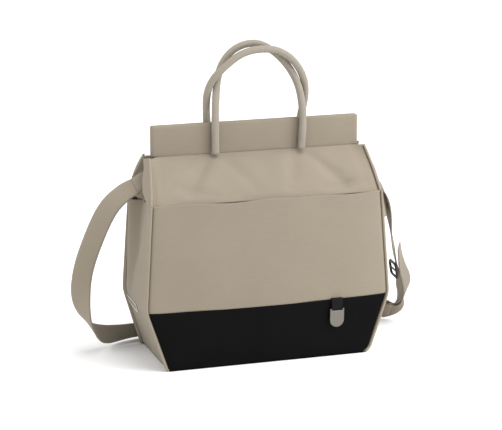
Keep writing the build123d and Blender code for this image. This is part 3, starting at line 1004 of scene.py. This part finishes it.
TAIL = [
    (262.5, 22, 146),
    (265, 24, 128),
    (272, 29, 104),
    (282, 35, 84),
    (287.5, 43, 64),
    (285.5, 58, 44),
    (277.5, 72.5, 23.5),
    (257, 88.5, 18),
]
TAIL_ACROSS = [
    (0.45, 0.85, 0),
    (0.5, 0.85, 0),
    (0.66, 0.75, 0),
    (0.72, 0.69, 0),
    (0.6, 0.8, 0),
    (0.1, 0.92, -0.3),
    (0, 0.5, -0.8),
    (0, 0.3, -1),
]
TAIL_ROWS, TAIL_COLUMNS = 90, 7


def make_slider():
    """The slider, a ring with a bar across it."""
    centre, across = np.array([259, 36, 103.0]), np.array([0.12, 0.99, 0])
    along = unit(np.cross(across, np.array([1, -0.1, 0.15])))
    half_wide, half_long = 20.0, 12.0
    angle = np.linspace(0, 2 * math.pi, 49)
    a = np.sign(np.cos(angle)) * np.abs(np.cos(angle)) ** 0.35 * half_wide
    b = np.sign(np.sin(angle)) * np.abs(np.sin(angle)) ** 0.35 * half_long
    ring_line = (centre + a[:, None] * across + b[:, None] * along) * MM
    ring = tube("slider_ring", ring_line, 2.2, slider_metal, 12, hint=(1, 0.1, 0))
    bar_line = (centre + np.linspace(-half_wide, half_wide, 12)[:, None] * across) * MM
    bar = tube("slider_bar", bar_line, 1.5, slider_metal, 12, hint=(1, 0.1, 0))
    slider = join("strap_slider_ring", [ring, bar])
    return finish_piece(slider, "body", "slider", "strap_slider")


def make_tail():
    """The end of the webbing that doubles back from the slider."""
    offsets = np.linspace(-0.5, 0.5, TAIL_COLUMNS) * WEBBING_WIDTH * MM
    rows = band_rows(TAIL, TAIL_ACROSS, offsets, TAIL_ROWS)
    tail = cloth_from_grid("strap_tail_webbing", rows, webbing, WEBBING_THICKNESS, middle=True)
    paint_inner_shade(tail, TAIL_ROWS - 1, TAIL_COLUMNS - 1, 1)
    return finish_piece(tail, "body", "webbing", "strap_tail")


def on_side(hand, y, z, off):
    """Points just off the side pocket's face, in millimetres."""
    edge = HALF_DEPTH - SIDE_INSET
    t = z / HEM_Z
    place = side_pocket_place(hand)((y / edge + 1) / 2, t)
    return place[0] + hand * off, y, z


def make_label():
    """A blank woven label with a light border, sewn to the left side."""
    def face(low_y, high_y, low_z, high_z, off):
        def place(s, t):
            y = high_y + (low_y - high_y) * s
            return on_side(-1, y, low_z + (high_z - low_z) * t, off)
        return place
    front, rear, low, high = 5, 76, 76, 90.5
    end, edge = 3, 2.2          # widths of the border, at the ends and along the long sides
    label = cloth("side_label_cloth", face(front, rear, low, high, 0.9), label_cloth, 8, 40, 0.6)
    finish_piece(label, "body", "label", "side_label")
    borders = (
        (front, rear, high - edge, high),
        (front, rear, low, low + edge),
        (front, front + end, low + edge, high - edge),
        (rear - end, rear, low + edge, high - edge),
    )
    edges = [cloth(f"label_edge_{number}", face(*border, 1.3), label_border, 3, 40, 0.5)
             for number, border in enumerate(borders)]
    finish_piece(join("side_label_border", edges), "body", "label")


TAB_X = 110.6
LEATHER_WIDTH, LEATHER_THICKNESS = 19, 1.8
LEATHER_LOW, LEATHER_TOP = 55, 98.5
CAP_RADIUS, CAP_LOW, CAP_HIGH = 12.0, 51.0, 79.0
CAP_HORN = 3                # height of the raised corners at the cap's top
CAP_STEPS = ((0, 0.0), (0, 2.4), (0.5, 3.1), (1.2, 3.4))       # inset and depth of its outline


def tab_face(z):
    """Y of the pull tab's back face: it hangs from the seam over the bulging base."""
    return -90.2 + 2.2 * np.clip((SEAM_Z - z) / 49, 0, 1)


def make_leather():
    """The pull tab's leather, from inside its cap up to the seam."""
    def leather_place(s, t):
        x = TAB_X + (s - 0.5) * (LEATHER_WIDTH - 1.5 * np.sin(math.pi * t))
        z = LEATHER_LOW + (LEATHER_TOP - LEATHER_LOW) * t
        return x, tab_face(z) - 1.6 + 1.5 * t ** 8, z

    leather = cloth("pull_tab_strip", leather_place, black_leather, 24, 12, LEATHER_THICKNESS)
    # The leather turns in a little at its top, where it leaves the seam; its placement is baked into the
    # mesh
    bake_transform(leather)
    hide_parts("pull_tab_leather")


def make_cap():
    """The pull tab's cap: a flat plate with a round lower end and two raised corners at its top."""
    arc = np.linspace(math.pi, 2 * math.pi, 33)
    outline = [(TAB_X + CAP_RADIUS * math.cos(a), CAP_LOW + CAP_RADIUS + CAP_RADIUS * math.sin(a))
               for a in arc]
    horn = CAP_HIGH + CAP_HORN
    top = ((CAP_RADIUS, horn), (10.2, horn), (9.2, CAP_HIGH))
    outline += [(TAB_X + x, z) for x, z in top] + [(TAB_X - x, z) for x, z in reversed(top)]
    centre = np.array([TAB_X, (CAP_LOW + CAP_HIGH) / 2 + 2])
    vertices, count = [], len(outline)
    for inset, depth in CAP_STEPS:
        for point in outline:
            away = np.array(point) - centre
            x, z = centre + away * (1 - inset / np.linalg.norm(away))
            vertices.append((x * MM, (tab_face(z) + 0.6 - depth) * MM, z * MM))
    faces = grid_faces(len(CAP_STEPS), count, closed=True)
    faces.append(tuple((len(CAP_STEPS) - 1) * count + i for i in range(count)))
    faces.append(tuple(reversed(range(count))))
    cap = make_object("pull_tab_plate", vertices, faces, cap_metal, smooth=False)
    finish_piece(cap, "pull_tab", "satin_metal", "pull_tab_cap")


def make_root():
    """The leather's root in the seam."""
    def root_place(s, t):
        return TAB_X + (s - 0.5) * LEATHER_WIDTH, -89.6 + 2.5 * t, 98.6 + 0.6 * t

    root = cloth("pull_tab_root", root_place, black_leather, 6, 8, LEATHER_THICKNESS)
    finish_piece(root, "body", "black_leather", "pull_tab_stub")


make_tab("left", LEFT_TAB, (-0.1, -0.5, -0.85), (0.33, -0.85, -0.4), 1)
make_tab("right", RIGHT_TAB, (0.1, -0.5, -0.85), (-0.6, -0.8, 0), 2.4)
slider = make_slider()
tail = make_tail()
make_label()
make_leather()
make_cap()
make_root()

# Pieces that keep their CAD shape
for node, material in (
    ("base_board", board_plastic),
    ("front_strip_board", board_plastic),
    ("back_strip_board", board_plastic),
    ("front_left_magnet", magnet_metal),
    ("front_right_magnet", magnet_metal),
    ("back_left_magnet", magnet_metal),
    ("back_right_magnet", magnet_metal),
    ("lining", lining_cloth),
    ("inner_pocket", lining_cloth),
    ("front_panel", canvas),
    ("back_panel", canvas),
    ("left_gusset", canvas),
    ("right_gusset", canvas),
):
    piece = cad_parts[node]
    piece.data.materials.clear()
    piece.data.materials.append(material)


# ---------------------------------------------------------------------------------------------
# Floor and light
# ---------------------------------------------------------------------------------------------
PAPER_WHITE = 0.86
WORLD_STRENGTH = 0.88
SKY_ANGLE, SKY_STRENGTH, SKY_FROM = 50, 2.6, (1.25, -1.0, 3.3)
AREA_LIGHTS = (             # name, place and size in metres, watts
    ("key", (0.64, -0.52, 0.50), 0.4, 2.9),
    ("fill", (-1.9, 0.0, 1.1), 1.2, 10.0),
)
LIGHTS_AIM = (0, 0, 0.2)


def place_light(name, data, place):
    light = bpy.data.objects.new(name, data)
    bpy.context.scene.collection.objects.link(light)
    light.location = place
    light.rotation_euler = (Vector(LIGHTS_AIM) - Vector(place)).to_track_quat("-Z", "Y").to_euler()


def make_studio():
    white, _, _ = new_material("floor_paper", 0.9, Base_Color=(PAPER_WHITE,) * 3 + (1,),
                               Specular_IOR_Level=0.1)
    floor = make_object("floor", [(-8, -8, 0), (8, -8, 0), (8, 8, 0), (-8, 8, 0)], [(0, 1, 2, 3)], white,
                        smooth=False)
    world = bpy.data.worlds.new("studio")
    bpy.context.scene.world = world
    world.use_nodes = True
    background = world.node_tree.nodes["Background"]
    background.inputs["Color"].default_value = (1, 1, 1, 1)
    background.inputs["Strength"].default_value = WORLD_STRENGTH
    sun = bpy.data.lights.new("sky", "SUN")
    sun.angle = math.radians(SKY_ANGLE)
    sun.energy = SKY_STRENGTH
    place_light("sky", sun, SKY_FROM)
    for name, place, size, power in AREA_LIGHTS:
        area = bpy.data.lights.new(name, "AREA")
        area.size = size
        area.energy = power
        place_light(name, area, place)
    bpy.context.scene.view_settings.view_transform = "Standard"


make_studio()
